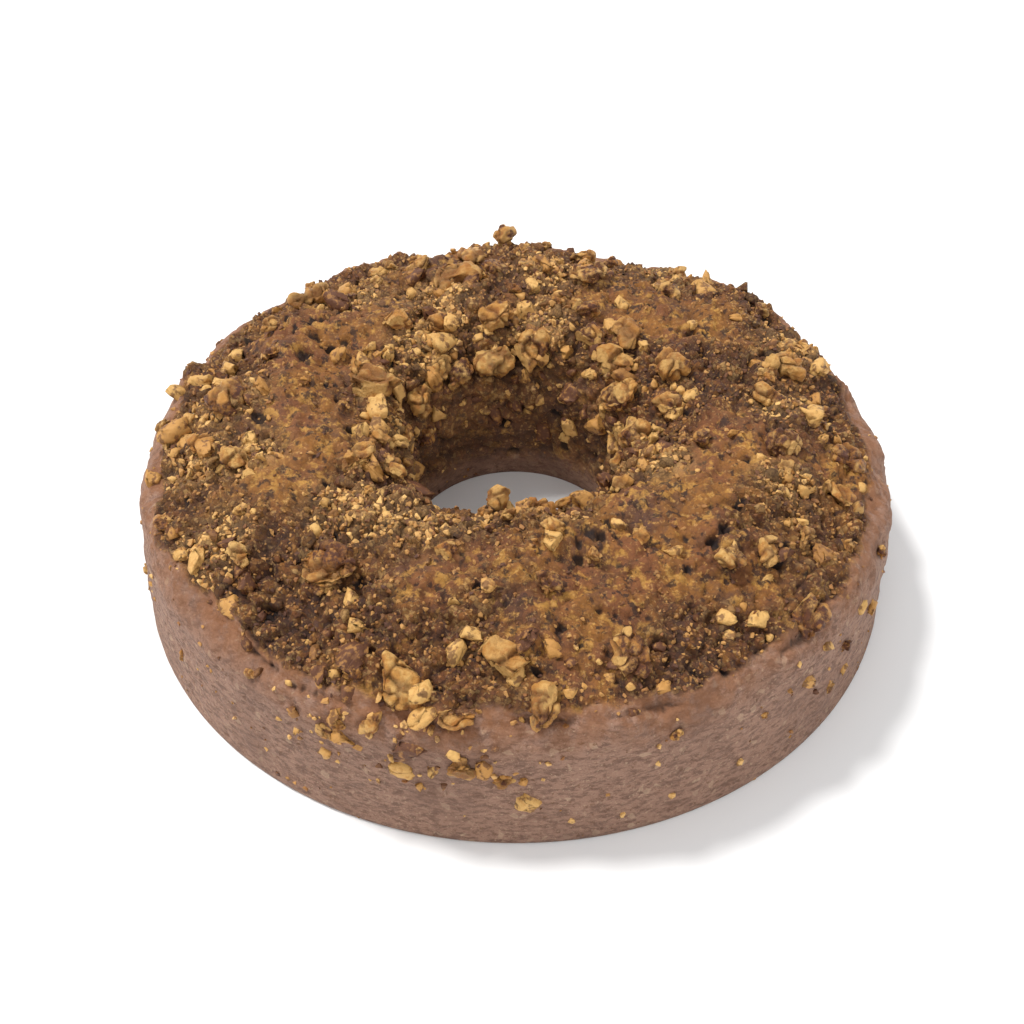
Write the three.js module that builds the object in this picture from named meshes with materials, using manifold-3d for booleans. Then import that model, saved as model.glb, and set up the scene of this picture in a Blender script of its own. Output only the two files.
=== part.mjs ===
// A ring-shaped carrot cake, baked in a tube tin, with chopped walnuts over its crown.
// Millimetres, +Z up. The origin is the centre of the flat underside; the side seen first faces -Y.
import * as THREE from "three";
import { mergeVertices } from "three/addons/utils/BufferGeometryUtils.js";
import Module from "manifold-3d";

const wasm = await Module();
wasm.setup();

// Driving dimensions of the ring: radii, and marks of its section as radius and height.
const cakeRadius = 114; // a nine inch tin
const footRound = 1.4;
const shoulder = [112, 33]; // the top of the straight side
const brow = [93, 49]; // where the shoulder turns into the crown
const crest = [57, 55.8];
const waist = [31.4, 29]; // the narrowest place of the hole
const holeFootRadius = 33.6;
const clearHoleRadius = 28.5; // no nut reaches further into the hole
const ovenTilt = 1.3; // the front of the crown stands this much higher than its middle

// Relief of the crust: how far it swells and sinks, and over what distance.
const hill = { height: 2.0, across: 37, seed: 3 };
const lump = { height: 2.5, across: 14, seed: 1 };
const crag = { height: 1.2, across: 7, seed: 2 };
const sideShare = 0.16; // of the crown's relief, on the straight side and in the hole
const crustStart = 31; // the height where the crown's relief sets in
const crustFull = 43; // and where it is at its full depth

const crownStep = 5.9; // distance between neighbouring points of the crust
const sideStep = 8.5; // the same on the straight side and in the hole
const nutGap = 0.45; // between a nut and the pocket that it sits in
const chipCount = 46;

const mix = THREE.MathUtils.lerp;
const smooth = THREE.MathUtils.smoothstep;
const radians = THREE.MathUtils.degToRad;

// A repeatable number from -1 to 1 for each corner of a grid of cubes.
function cornerValue(x, y, z, seed) {
  let h = Math.imul(x, 0x1f123bb5) + Math.imul(y, 0x2c1b3c6d);
  h = (h + Math.imul(z, 0x297a2d39) + Math.imul(seed, 0x165667b1)) | 0;
  h = Math.imul(h ^ (h >>> 15), 0x2c1b3c6d);
  h = Math.imul(h ^ (h >>> 12), 0x297a2d39);
  h ^= h >>> 15;
  return (h >>> 0) / 2147483648 - 1;
}

// A draw from 0 to 1: number k of thing i.
function draw(i, k) {
  return cornerValue(i, k, 17, 5) / 2 + 0.5;
}

// Smooth noise from -1 to 1 that changes over a distance of 1.
function noise(x, y, z, seed) {
  const [ix, iy, iz] = [x, y, z].map(Math.floor);
  const [fx, fy, fz] = [x - ix, y - iy, z - iz].map((t) => t * t * (3 - 2 * t));
  const corner = (a, b, c) => cornerValue(ix + a, iy + b, iz + c, seed);
  const edge = (b, c) => mix(corner(0, b, c), corner(1, b, c), fx);
  const face = (c) => mix(edge(0, c), edge(1, c), fy);
  return mix(face(0), face(1), fz);
}

// The ring's section, from the outer foot up the side, over the crown and down the hole. The
// numbers written out are the handles of the curves between its marks.
function sectionPath() {
  return new THREE.Path()
    .moveTo(cakeRadius - footRound, 0)
    .quadraticCurveTo(cakeRadius, 0, cakeRadius, footRound)
    .lineTo(...shoulder)
    .bezierCurveTo(shoulder[0] - 1, 42, 104, 43.5, ...brow)
    .bezierCurveTo(83, 54, 70, crest[1] + 1.4, ...crest)
    .bezierCurveTo(44, crest[1] - 0.8, 33, 47, ...waist)
    .quadraticCurveTo(waist[0] - 0.8, waist[1] / 2, holeFootRadius, 0);
}

// How far the crust stands out from the smooth section at a point.
function relief(x, y, z) {
  const onCrown = mix(sideShare, 1, smooth(z, crustStart, crustFull));
  const swell = ({ height, across, seed }) => height * noise(x / across, y / across, z / across, seed);
  const offFoot = smooth(z, 0, 7);
  return (swell(hill) + swell(lump) + swell(crag)) * onCrown * offFoot;
}

// The crust at an azimuth (radians) and a share (0 to 1) of the way along the section.
const section = sectionPath();
function crustAt(azimuth, share) {
  const point = section.getPointAt(share);
  const ahead = section.getTangentAt(share);
  const out = new THREE.Vector3(ahead.y * Math.cos(azimuth), ahead.y * Math.sin(azimuth), -ahead.x);
  const place = new THREE.Vector3(point.x * Math.cos(azimuth), point.x * Math.sin(azimuth), point.y);
  place.z -= ovenTilt * Math.sin(azimuth) * smooth(point.y, crustStart, brow[1]);
  place.addScaledVector(out, relief(place.x, place.y, place.z));
  const reach = Math.hypot(place.x, place.y);
  if (reach > cakeRadius) {
    place.x *= cakeRadius / reach;
    place.y *= cakeRadius / reach;
  }
  return { place, out };
}

// The share along the crown where the section has this radius.
function shareAtRadius(radius) {
  let [low, high] = [0.2, 0.85];
  for (let i = 0; i < 30; i++) {
    const middle = (low + high) / 2;
    if (section.getPointAt(middle).x > radius) low = middle;
    else high = middle;
  }
  return low;
}

// Rings of points with a like spacing, stitched ring to ring and closed by the flat underside.
function ringGeometry() {
  const points = [];
  const rings = [];
  const length = section.getLength();
  for (let share = 0; share <= 1; ) {
    const { x: radius, y: height } = section.getPointAt(share);
    const step = mix(sideStep, crownStep, smooth(height, waist[1] - 8, crustFull));
    const count = 4 * Math.round((radius * 2 * Math.PI) / step / 4);
    rings.push({ start: points.length / 3, count });
    for (let i = 0; i < count; i++) {
      points.push(...crustAt((i / count) * 2 * Math.PI, share).place.toArray());
    }
    const next = share + (share === 0 ? footRound * 1.6 : step) / length;
    share = share < 1 && next > 1 - (0.4 * step) / length ? 1 : next;
  }
  const faces = [];
  rings.forEach((ring, i) => stitch(faces, ring, rings[(i + 1) % rings.length]));
  const geometry = new THREE.BufferGeometry();
  geometry.setAttribute("position", new THREE.Float32BufferAttribute(points, 3));
  geometry.setIndex(faces);
  return geometry;
}

// Triangles between two rings whose counts of points differ.
function stitch(faces, lower, upper) {
  let [a, b] = [0, 0];
  while (a < lower.count || b < upper.count) {
    const here = lower.start + (a % lower.count);
    const there = upper.start + (b % upper.count);
    if (b >= upper.count || (a < lower.count && (a + 0.5) / lower.count < (b + 0.5) / upper.count)) {
      a += 1;
      faces.push(here, lower.start + (a % lower.count), there);
    } else {
      b += 1;
      faces.push(here, upper.start + (b % upper.count), there);
    }
  }
}

// A geometry as a solid that can be joined and cut, and back.
function solidFrom(geometry) {
  const bare = geometry.clone();
  bare.deleteAttribute("normal");
  bare.deleteAttribute("uv");
  const merged = mergeVertices(bare, 1e-3);
  return new wasm.Manifold(
    new wasm.Mesh({
      numProp: 3,
      vertProperties: merged.attributes.position.array,
      triVerts: new Uint32Array(merged.index.array),
    }),
  );
}

function geometryFrom(solid) {
  const { vertProperties, triVerts, numProp } = solid.getMesh();
  const points = [];
  for (let i = 0; i < vertProperties.length; i += numProp) {
    points.push(...vertProperties.subarray(i, i + 3));
  }
  const geometry = new THREE.BufferGeometry();
  geometry.setAttribute("position", new THREE.Float32BufferAttribute(points, 3));
  geometry.setIndex([...triVerts]);
  return geometry;
}

// The main body of a solid, without loose scraps and sealed hollows.
function mainBody(solid) {
  return solid.decompose().sort((a, b) => b.volume() - a.volume())[0];
}

// Kinds of nut piece: how many broken faces, how deep the lobes, how far it curves, how thick it
// is, and how far the middle of its upper side is hollowed.
const nutKinds = {
  chunk: { breaks: 6, lobes: 0.2, curve: 0.0, thick: 0.66, dish: 0.15 },
  knob: { breaks: 2, lobes: 0.26, curve: 0.2, thick: 0.78, dish: 0.1 },
  crescent: { breaks: 1, lobes: 0.16, curve: 1.2, thick: 0.66, dish: 0 },
  flake: { breaks: 4, lobes: 0.2, curve: 0.3, thick: 0.52, dish: 0.4 },
};

// The ball that a piece is shaped from: the smaller the piece, the fewer its faces.
function roughBall(length) {
  if (length > 17.5) return new THREE.IcosahedronGeometry(1, 2);
  if (length > 10.4) return new THREE.IcosahedronGeometry(1, 1);
  return new THREE.OctahedronGeometry(1, 1);
}

// A piece of walnut about its own middle: a ball with broken faces and lobes, stretched and curved.
function nutGeometry(nut, swell = 0) {
  const kind = nutKinds[nut.kind];
  const ball = roughBall(nut.length);
  ball.deleteAttribute("normal");
  ball.deleteAttribute("uv");
  const geometry = mergeVertices(ball, 1e-4);
  const spots = geometry.attributes.position;
  const breaks = [];
  for (let i = 0; i < kind.breaks; i++) {
    const turn = draw(nut.seed, 10 + i) * 2 * Math.PI;
    const rise = draw(nut.seed, 20 + i) * 1.5 - 0.6;
    breaks.push({
      way: new THREE.Vector3(Math.cos(turn), Math.sin(turn), rise).normalize(),
      depth: mix(0.58, 0.86, draw(nut.seed, 30 + i)),
    });
  }
  const way = new THREE.Vector3();
  for (let i = 0; i < spots.count; i++) {
    way.fromBufferAttribute(spots, i).normalize();
    let reach = 1 + kind.lobes * 1.6 * noise(way.x * 1.9 + nut.seed, way.y * 1.9, way.z * 1.9, 9);
    for (const cut of breaks) {
      const facing = way.dot(cut.way);
      if (facing * reach > cut.depth) reach = cut.depth / facing;
    }
    const inside = Math.max(0, 1 - (way.x * way.x + way.y * way.y) / 0.7);
    const groove = 1 - (way.z > 0 ? kind.dish * inside : 0);
    const x = way.x * reach;
    const bend = kind.curve * (x * x - 0.35);
    spots.setXYZ(
      i,
      (x * nut.length) / 2,
      ((way.y * reach) / 2) * nut.width + (bend * nut.width) / 2,
      (way.z * reach * groove * nut.width * kind.thick) / 2,
    );
  }
  if (swell) {
    geometry.computeVertexNormals();
    const normals = geometry.attributes.normal;
    for (let i = 0; i < spots.count; i++) {
      spots.setXYZ(
        i,
        spots.getX(i) + normals.getX(i) * swell,
        spots.getY(i) + normals.getY(i) * swell,
        spots.getZ(i) + normals.getZ(i) * swell,
      );
    }
    geometry.deleteAttribute("normal");
  }
  return geometry;
}

// Where a nut lies on the crust: along the ring for turn 0, sunk by a share of its thickness.
function nutMatrix(nut) {
  const azimuth = radians(nut.azimuth);
  const { place, out } = crustAt(azimuth, shareAtRadius(nut.radius));
  const along = new THREE.Vector3(-Math.sin(azimuth), Math.cos(azimuth), 0);
  along.applyAxisAngle(out, radians(nut.turn));
  const thickness = nut.width * nutKinds[nut.kind].thick;
  const across = new THREE.Vector3().crossVectors(out, along);
  const basis = new THREE.Matrix4();
  if (nut.stands) {
    basis.makeBasis(out, along, new THREE.Vector3().crossVectors(out, along));
    place.addScaledVector(out, nut.length * 0.28);
  } else {
    basis.makeBasis(along, across, out);
    place.addScaledVector(out, thickness * (0.5 - nut.sunk));
  }
  const lean = new THREE.Matrix4().makeRotationFromEuler(
    new THREE.Euler(radians(mix(-16, 16, draw(nut.seed, 1))), radians(mix(-13, 13, draw(nut.seed, 2))), 0),
  );
  return basis.multiply(lean).setPosition(place);
}

// The pieces that stand out most: azimuth and radius on the crown, length, width, kind, turn.
const plainToSee = [
  [106, 70, 20, 12, "crescent", 8],
  [96, 64, 13, 8, "flake", 80],
  [92, 99, 11, 9, "chunk", 0, true],
  [98, 48, 14, 12, "chunk", 15],
  [100, 37, 14, 12, "chunk", 60],
  [82, 38, 16, 10, "flake", 70],
  [120, 36, 11, 8, "knob", 20],
  [132, 55, 11, 9, "chunk", 30],
  [164, 47, 19, 11, "crescent", 80],
  [147, 35, 10, 8, "knob", 30],
  [178, 84, 16, 13, "chunk", 35],
  [188, 90, 11, 8, "flake", 60],
  [196, 82, 10, 8, "knob", 40],
  [137, 89, 15, 9, "crescent", -25],
  [233, 82, 18, 13, "flake", 20],
  [254, 101, 17, 14, "flake", -10],
  [262, 107, 11, 8, "flake", 20],
  [269, 94, 16, 9, "flake", -35],
  [274, 104, 11, 9, "knob", 80],
  [287, 96, 14, 9, "knob", 80],
  [316, 105, 13, 9, "flake", 60],
  [71, 73, 16, 11, "flake", 5],
  [48, 51, 15, 8, "crescent", -15],
  [41, 42, 14, 9, "flake", 10],
  [57, 45, 10, 9, "knob", 20],
  [26, 37, 17, 13, "flake", 50],
  [21, 51, 12, 11, "knob", 20],
  [4, 45, 11, 8, "chunk", 30],
  [358, 36, 13, 10, "knob", 65],
  [5, 75, 12, 8, "flake", 85],
  [16, 86, 15, 9, "crescent", 55],
  [347, 78, 13, 12, "chunk", 50],
  [352, 97, 14, 11, "flake", 70],
  [342, 97, 14, 8, "flake", 50],
  [264, 41, 10, 8, "flake", 0, true],
  [278, 41, 11, 8, "chunk", 10],
];

// Bands of the crown that the other pieces lie in: radii, azimuths, lengths, and how many.
const nutBands = [
  { from: 34, to: 52, start: 100, end: 225, least: 8, most: 12.5, count: 7 },
  { from: 56, to: 98, start: 88, end: 130, least: 8, most: 12, count: 4 },
  { from: 76, to: 103, start: 145, end: 235, least: 7, most: 11, count: 3 },
  { from: 80, to: 104, start: 15, end: 90, least: 7, most: 12, count: 5 },
  { from: 60, to: 104, start: 275, end: 340, least: 7, most: 11, count: 4 },
];

// One drawn piece: number is its own, attempt counts the places tried for it.
function bandNut(band, number, attempt) {
  const seed = 100 + number + attempt * 1000;
  const pick = (k) => draw(seed, k);
  const length = mix(band.least, band.most, pick(43));
  return {
    azimuth: mix(band.start, band.end, pick(41)),
    radius: mix(band.from, band.to, pick(42)),
    length,
    width: length * mix(0.62, 0.92, pick(44)),
    kind: Object.keys(nutKinds)[Math.floor(pick(45) * 4)],
    turn: pick(46) * 180,
    stands: false,
    sunk: mix(0.2, 0.38, pick(47)),
    seed,
  };
}

function clearOf(nut, placed) {
  const solid = solidFrom(nutGeometry(nut).applyMatrix4(nutMatrix(nut)));
  const box = solid.boundingBox();
  for (const other of placed) {
    const apart = [0, 1, 2].some(
      (k) => box.min[k] > other.box.max[k] || box.max[k] < other.box.min[k],
    );
    if (!apart && solid.intersect(other.swollen).volume() > 0) return null;
  }
  const points = solid.getMesh().vertProperties;
  for (let i = 0; i < points.length; i += 3) {
    const reach = Math.hypot(points[i], points[i + 1]);
    if (reach < clearHoleRadius || reach > cakeRadius - 0.5) return null;
  }
  const swollen = solidFrom(nutGeometry(nut, nutGap).applyMatrix4(nutMatrix(nut)));
  return { nut, solid, swollen, box: swollen.boundingBox() };
}

// Each piece plain to see moves a little along its radius, away from the nearer edge, until it is
// clear; the others are drawn again.
function placeNuts() {
  const placed = [];
  const place = (tries, candidate) => {
    for (let attempt = 0; attempt < tries; attempt++) {
      const found = clearOf(candidate(attempt), placed);
      if (found) {
        placed.push(found);
        return;
      }
    }
  };
  plainToSee.forEach(([azimuth, radius, length, width, kind, turn, stands = false], seed) => {
    const nut = { azimuth, length, width, kind, turn, stands, sunk: 0.28, seed };
    const away = radius > brow[0] ? -1 : 1;
    place(12, (nudge) => ({ ...nut, radius: radius + nudge * away }));
  });
  for (const band of nutBands) {
    for (let i = 0; i < band.count; i++) {
      place(60, (attempt) => bandNut(band, placed.length, attempt));
    }
  }
  return placed;
}

// Chips of nut, too small to be pieces of their own, baked into the crust: thick in the collar
// round the hole, thinner over the crown, and a few down the side.
function chip(i) {
  const where = draw(i, 50);
  let share = mix(0.52, 0.83, draw(i, 51));
  if (where > 0.5) share = mix(0.2, 0.56, draw(i, 51));
  if (where > 0.86) share = mix(0.07, 0.17, draw(i, 51));
  const azimuth = 2 * Math.PI * ((i * 0.618034) % 1);
  const size = mix(4.2, 7.8, draw(i, 52)) * (where > 0.86 ? 0.75 : 1);
  return { azimuth, share, size, turn: draw(i, 53) * Math.PI, flat: mix(0.5, 0.8, draw(i, 54)) };
}

function chipGeometry(i) {
  const { azimuth, share, size, turn, flat } = chip(i);
  const geometry = new THREE.IcosahedronGeometry(1, 0);
  const spots = geometry.attributes.position;
  for (let k = 0; k < spots.count; k++) {
    const [x, y, z] = [spots.getX(k), spots.getY(k), spots.getZ(k)];
    const reach = 1 + 0.3 * noise(x * 2 + i, y * 2, z * 2, 11);
    spots.setXYZ(k, (x * reach * size) / 2, (y * reach * size * 0.72) / 2, (z * reach * size * flat) / 2);
  }
  const { place, out } = crustAt(azimuth, share);
  const along = new THREE.Vector3(-Math.sin(azimuth), Math.cos(azimuth), 0).applyAxisAngle(out, turn);
  const across = new THREE.Vector3().crossVectors(out, along);
  const side = share < 0.18;
  place.addScaledVector(out, side ? -size * flat * 0.28 : size * flat * 0.08);
  return geometry.applyMatrix4(new THREE.Matrix4().makeBasis(along, across, out).setPosition(place));
}

function cakeSolid(nuts) {
  let cake = solidFrom(ringGeometry());
  for (let i = 0; i < chipCount; i++) cake = cake.add(solidFrom(chipGeometry(i)));
  cake = mainBody(cake);
  for (const { swollen } of nuts) cake = cake.subtract(swollen);
  return mainBody(cake);
}

function named(name, geometry, material) {
  const mesh = new THREE.Mesh(geometry, material);
  mesh.name = name;
  return mesh;
}

const crustMaterial = new THREE.MeshStandardMaterial({ color: 0x8a5a30, roughness: 0.85, metalness: 0 });
const walnutMaterial = new THREE.MeshStandardMaterial({ color: 0xbf8f52, roughness: 0.6, metalness: 0 });

const nuts = placeNuts();
const cake = new THREE.Group();
cake.add(named("cake_ring", geometryFrom(cakeSolid(nuts)), crustMaterial));
nuts.forEach(({ nut }, i) => {
  const mesh = named(`walnut_${String(i + 1).padStart(2, "0")}`, nutGeometry(nut), walnutMaterial);
  mesh.applyMatrix4(nutMatrix(nut));
  cake.add(mesh);
});

export default cake;
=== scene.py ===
import math
import bpy
import bmesh
import numpy as np
from mathutils import Matrix, Vector


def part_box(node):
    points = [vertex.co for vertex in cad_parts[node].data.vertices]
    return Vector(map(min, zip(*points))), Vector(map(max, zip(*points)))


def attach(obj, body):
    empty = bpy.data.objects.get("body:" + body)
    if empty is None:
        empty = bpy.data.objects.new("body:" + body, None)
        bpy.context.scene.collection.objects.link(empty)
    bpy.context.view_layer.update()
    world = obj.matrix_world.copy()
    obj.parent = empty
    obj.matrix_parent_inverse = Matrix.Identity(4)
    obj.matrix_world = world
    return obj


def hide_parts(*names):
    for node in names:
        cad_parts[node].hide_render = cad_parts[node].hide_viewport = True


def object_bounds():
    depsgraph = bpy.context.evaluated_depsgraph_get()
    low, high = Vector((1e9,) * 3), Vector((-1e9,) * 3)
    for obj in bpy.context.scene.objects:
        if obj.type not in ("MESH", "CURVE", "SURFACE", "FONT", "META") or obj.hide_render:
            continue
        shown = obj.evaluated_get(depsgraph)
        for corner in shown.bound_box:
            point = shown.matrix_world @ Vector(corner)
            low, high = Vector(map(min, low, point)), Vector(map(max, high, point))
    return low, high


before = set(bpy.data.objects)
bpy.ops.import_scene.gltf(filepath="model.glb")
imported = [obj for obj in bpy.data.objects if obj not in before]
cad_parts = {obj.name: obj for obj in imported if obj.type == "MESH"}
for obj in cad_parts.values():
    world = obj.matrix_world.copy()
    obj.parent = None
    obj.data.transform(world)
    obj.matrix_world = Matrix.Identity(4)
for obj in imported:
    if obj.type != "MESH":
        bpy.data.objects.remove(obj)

# A ring-shaped carrot cake with chopped walnuts. Lengths are millimetres until a mesh is made.
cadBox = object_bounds()
mm = 0.001


# Numbers and noise, the same as in the solid model

def cornerValue(x, y, z, seed):
    x, y, z = (np.asarray(v).astype(np.int64).astype(np.uint32) for v in (x, y, z))
    h = x * np.uint32(0x1F123BB5) + y * np.uint32(0x2C1B3C6D) + z * np.uint32(0x297A2D39)
    h = h + np.uint32((seed * 0x165667B1) & 0xFFFFFFFF)
    h = (h ^ (h >> np.uint32(15))) * np.uint32(0x2C1B3C6D)
    h = (h ^ (h >> np.uint32(12))) * np.uint32(0x297A2D39)
    h = h ^ (h >> np.uint32(15))
    return h.astype(float) / 2147483648 - 1  # from -1 to 1


def draw(thing, number):
    return float(cornerValue([thing], [number], [17], 5)[0] / 2 + 0.5)  # from 0 to 1


def noise(points, across, seed):
    scaled = points / across
    cell = np.floor(scaled)
    f = scaled - cell
    f = f * f * (3 - 2 * f)
    total = np.zeros(len(points))
    for corner in np.ndindex(2, 2, 2):
        weight = np.prod([f[:, k] if corner[k] else 1 - f[:, k] for k in range(3)], axis=0)
        total += weight * cornerValue(*(cell[:, k] + corner[k] for k in range(3)), seed)
    return total


def smooth(value, low, high):
    t = np.clip((value - low) / (high - low), 0, 1)
    return t * t * (3 - 2 * t)


def mix(a, b, share):
    return a + (b - a) * share


def waves(points, parts, total=0.0):  # each part is a height, how far across and a seed
    for height, across, seed in parts:
        total = total + height * noise(points, across, seed)
    return total


def hump(value, middle, reach):  # 1 at the middle, falling off on both sides
    return np.exp(-(((value - middle) / reach) ** 2))


def srgb(red, green, blue):  # a colour as seen, 0 to 255, to the shader's linear one
    values = [c / 255 for c in (red, green, blue)]
    return tuple(c / 12.92 if c < 0.04045 else ((c + 0.055) / 1.055) ** 2.4 for c in values) + (1,)


# The ring's section and its crust

cake = {
    "radius": 114, "footRound": 1.4, "shoulder": (112, 33), "brow": (93, 49), "crest": (57, 55.8),
    "waist": (31.4, 29), "holeFoot": 33.6, "ovenTilt": 1.3, "curveSteps": 400,
    "swells": [(2.0, 37, 3), (2.5, 14, 1), (1.2, 7, 2)],  # height, across, seed
    "sideShare": 0.16, "crustStart": 31, "crustFull": 43, "footCalm": 7,
    "crownStep": 0.79, "sideStep": 1.3, "undersideStep": 3.2, "finerBetween": (27, 37),
}


def bezier(marks):
    steps = cake["curveSteps"]
    t = np.linspace(0, 1, steps)[:, None]
    level = [np.repeat(np.array([m], float), steps, 0) for m in marks]
    while len(level) > 1:
        level = [a + (b - a) * t for a, b in zip(level, level[1:])]
    return level[0]


def sectionCurve():  # dense radius and height, from the outer foot to the foot of the hole
    radius, r = cake["radius"], cake["footRound"]
    shoulder, brow, crest, waist = (cake[k] for k in ("shoulder", "brow", "crest", "waist"))
    parts = [
        bezier([(radius - r, 0), (radius, 0), (radius, r)]),
        bezier([(radius, r), shoulder]),
        bezier([shoulder, (shoulder[0] - 1, 42), (104, 43.5), brow]),
        bezier([brow, (83, 54), (70, crest[1] + 1.4), crest]),
        bezier([crest, (44, crest[1] - 0.8), (33, 47), waist]),
        bezier([waist, (waist[0] - 0.8, waist[1] / 2), (cake["holeFoot"], 0)]),
    ]
    return np.concatenate([parts[0]] + [p[1:] for p in parts[1:]])


section = sectionCurve()
sectionLength = np.concatenate([[0], np.cumsum(np.hypot(*np.diff(section, axis=0).T))])
sectionAhead = np.gradient(section, axis=0)
sectionAhead /= np.linalg.norm(sectionAhead, axis=1)[:, None]


def relief(points):
    onCrown = mix(cake["sideShare"], 1, smooth(points[:, 2], cake["crustStart"], cake["crustFull"]))
    return waves(points, cake["swells"]) * onCrown * smooth(points[:, 2], 0, cake["footCalm"])


def crustAt(azimuth, along):  # points of the crust and its outward directions
    radius, height = (np.interp(along, sectionLength, section[:, k]) for k in (0, 1))
    aheadR, aheadZ = (np.interp(along, sectionLength, sectionAhead[:, k]) for k in (0, 1))
    c, s = np.cos(azimuth), np.sin(azimuth)
    out = np.stack([aheadZ * c, aheadZ * s, -aheadR], 1)
    place = np.stack([radius * c, radius * s, height], 1)
    place[:, 2] -= cake["ovenTilt"] * s * smooth(height, cake["crustStart"], cake["brow"][1])
    place += out * relief(place)[:, None]
    return place, out, height


def insideTin(points):  # nothing stands out past the tin's wall, the solids' top or the underside
    reach = np.hypot(points[:, 0], points[:, 1])
    points[:, :2] *= np.minimum(1, cake["radius"] / np.maximum(reach, 1))[:, None]
    points[:, 2] = np.clip(points[:, 2], 0, cadBox[1][2] / mm)
    return points


# Where things lie on the crown: azimuth in degrees, radius and reach

drifts = [  # granular crumbs of nut
    (130, 44, 8), (171, 35, 7), (235, 61, 8), (246, 56, 8), (223, 64, 9), (331, 48, 7), (3, 78, 7),
    (337, 80, 7), (131, 82, 9), (256, 50, 6), (284, 50, 5), (176, 85, 9), (191, 92, 9), (195, 77, 8),
    (82, 76, 9), (117, 53, 8), (80, 46, 9), (112, 64, 9), (60, 100, 9), (25, 98, 9), (212, 96, 9),
]
calmSpots = [  # smooth golden crust with pores
    (153, 67, 12), (197, 51, 8), (207, 69, 10), (44, 68, 13), (306, 62, 11), (326, 62, 9),
    (288, 70, 9), (350, 62, 9), (253, 74, 8), (66, 60, 6),
]
deepPores = [  # azimuth, radius, radius of the pore
    (151, 71.5, 2.3), (158, 70.5, 3.0), (35.5, 67, 3.5), (24, 63, 2.6), (289, 61, 2.6),
    (285, 62, 2.0), (58, 78, 2.2), (143, 76, 1.9), (148, 62, 1.7), (312, 78, 2.0), (228, 72, 2.2),
]


def awayFrom(points, azimuth, radius):  # how far off on plan a place on the crown is
    a = math.radians(azimuth)
    return np.hypot(points[:, 0] - radius * math.cos(a), points[:, 1] - radius * math.sin(a))


def spots(points, places, sharpness=1.0):  # 1 at each place, falling to 0 at its reach
    total = np.zeros(len(points))
    for azimuth, radius, reach in places:
        away = awayFrom(points, azimuth, radius)
        total = np.maximum(total, np.exp(-((away / reach) ** 2) * sharpness))
    return total


def wander(points, across, seed):  # a small shift that bends straight edges
    return np.stack([noise(points, across, seed + k) for k in range(3)], 1)


def neighbours(base):  # each point's own cell and the 26 round it
    for offset in np.ndindex(3, 3, 3):
        yield [base[:, k] + offset[k] - 1 for k in range(3)]


def middleOf(home, shift, seed):  # a cell's middle, moved by its own draws
    return np.stack([home[k] + 0.5 + shift * cornerValue(*home, seed + k) for k in range(3)], 1)


def cells(points, size, seed, warp=0.3):  # how deep in its cell a point is, and the cell's draw
    p = points / size
    p = p + warp * wander(p, 0.6, seed + 10)
    nearest, second, own = np.full(len(p), 9.0), np.full(len(p), 9.0), np.zeros(len(p))
    for home in neighbours(np.floor(p)):
        away = np.linalg.norm(p - middleOf(home, 0.45, seed + 2), axis=1)
        closer = away < nearest
        second = np.where(closer, nearest, np.minimum(second, away))
        own = np.where(closer, cornerValue(*home, seed + 1), own)
        nearest = np.where(closer, away, nearest)
    return second - nearest, own


def pores(points, cell, share, smallest, largest, seed):  # 0 outside, 1 in the middle of a pore
    points = points + 0.22 * cell * wander(points, cell * 0.4, seed + 6)
    deepest, size = np.zeros(len(points)), np.zeros(len(points))
    for home in neighbours(np.floor(points / cell)):
        present = cornerValue(*home, seed) / 2 + 0.5 < share
        radius = mix(smallest, largest, (cornerValue(*home, seed + 1) / 2 + 0.5) ** 2)
        middle = middleOf(home, 0.4, seed + 2) * cell
        away = np.linalg.norm(points - middle, axis=1) / radius
        depth = np.where(present, np.clip(1 - away ** 2, 0, 1), 0)
        size = np.where(depth > deepest, radius, size)
        deepest = np.maximum(deepest, depth)
    return deepest, size


# The cake

def countRound(radius, step):  # points round a ring, a multiple of four
    return 4 * round(radius * 2 * math.pi / step / 4)


def ringRows():  # how far along the section each ring lies, and its count of points
    rows = []
    along = 0
    total = sectionLength[-1]
    while along < total:
        radius = np.interp(along, sectionLength, section[:, 0])
        height = np.interp(along, sectionLength, section[:, 1])
        step = mix(cake["sideStep"], cake["crownStep"], smooth(height, *cake["finerBetween"]))
        rows.append((along, countRound(radius, step)))
        along += step
    rows.append((total, rows[-1][1]))
    return rows


def stitch(lower, lowerCount, upper, upperCount):  # triangles between two rings of unlike counts
    keys = np.concatenate([(np.arange(n) + 0.5) / n for n in (lowerCount, upperCount)])
    isLower = np.argsort(keys, kind="stable") < lowerCount
    a = np.cumsum(isLower) - isLower
    b = np.cumsum(~isLower) - ~isLower
    here, there = lower + a % lowerCount, upper + b % upperCount
    third = np.where(isLower, lower + (a + 1) % lowerCount, upper + (b + 1) % upperCount)
    return np.stack([here, third, there], 1)


def meshFrom(name, points, faces):
    mesh = bpy.data.meshes.new(name)
    mesh.vertices.add(len(points))
    mesh.vertices.foreach_set("co", (points * mm).astype(np.float32).ravel())
    mesh.loops.add(faces.size)
    mesh.loops.foreach_set("vertex_index", faces.astype(np.int32).ravel())
    mesh.polygons.add(len(faces))
    corners = faces.shape[1]
    mesh.polygons.foreach_set("loop_start", np.arange(0, faces.size, corners, dtype=np.int32))
    mesh.update(calc_edges=True)
    mesh.polygons.foreach_set("use_smooth", np.ones(len(faces), bool))
    return mesh


def addObject(name, data):
    made = bpy.data.objects.new(name, data)
    bpy.context.scene.collection.objects.link(made)
    return made


def pieceFrom(mesh, material):
    mesh.materials.clear()
    mesh.materials.append(material)
    return addObject(mesh.name, mesh)


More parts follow.
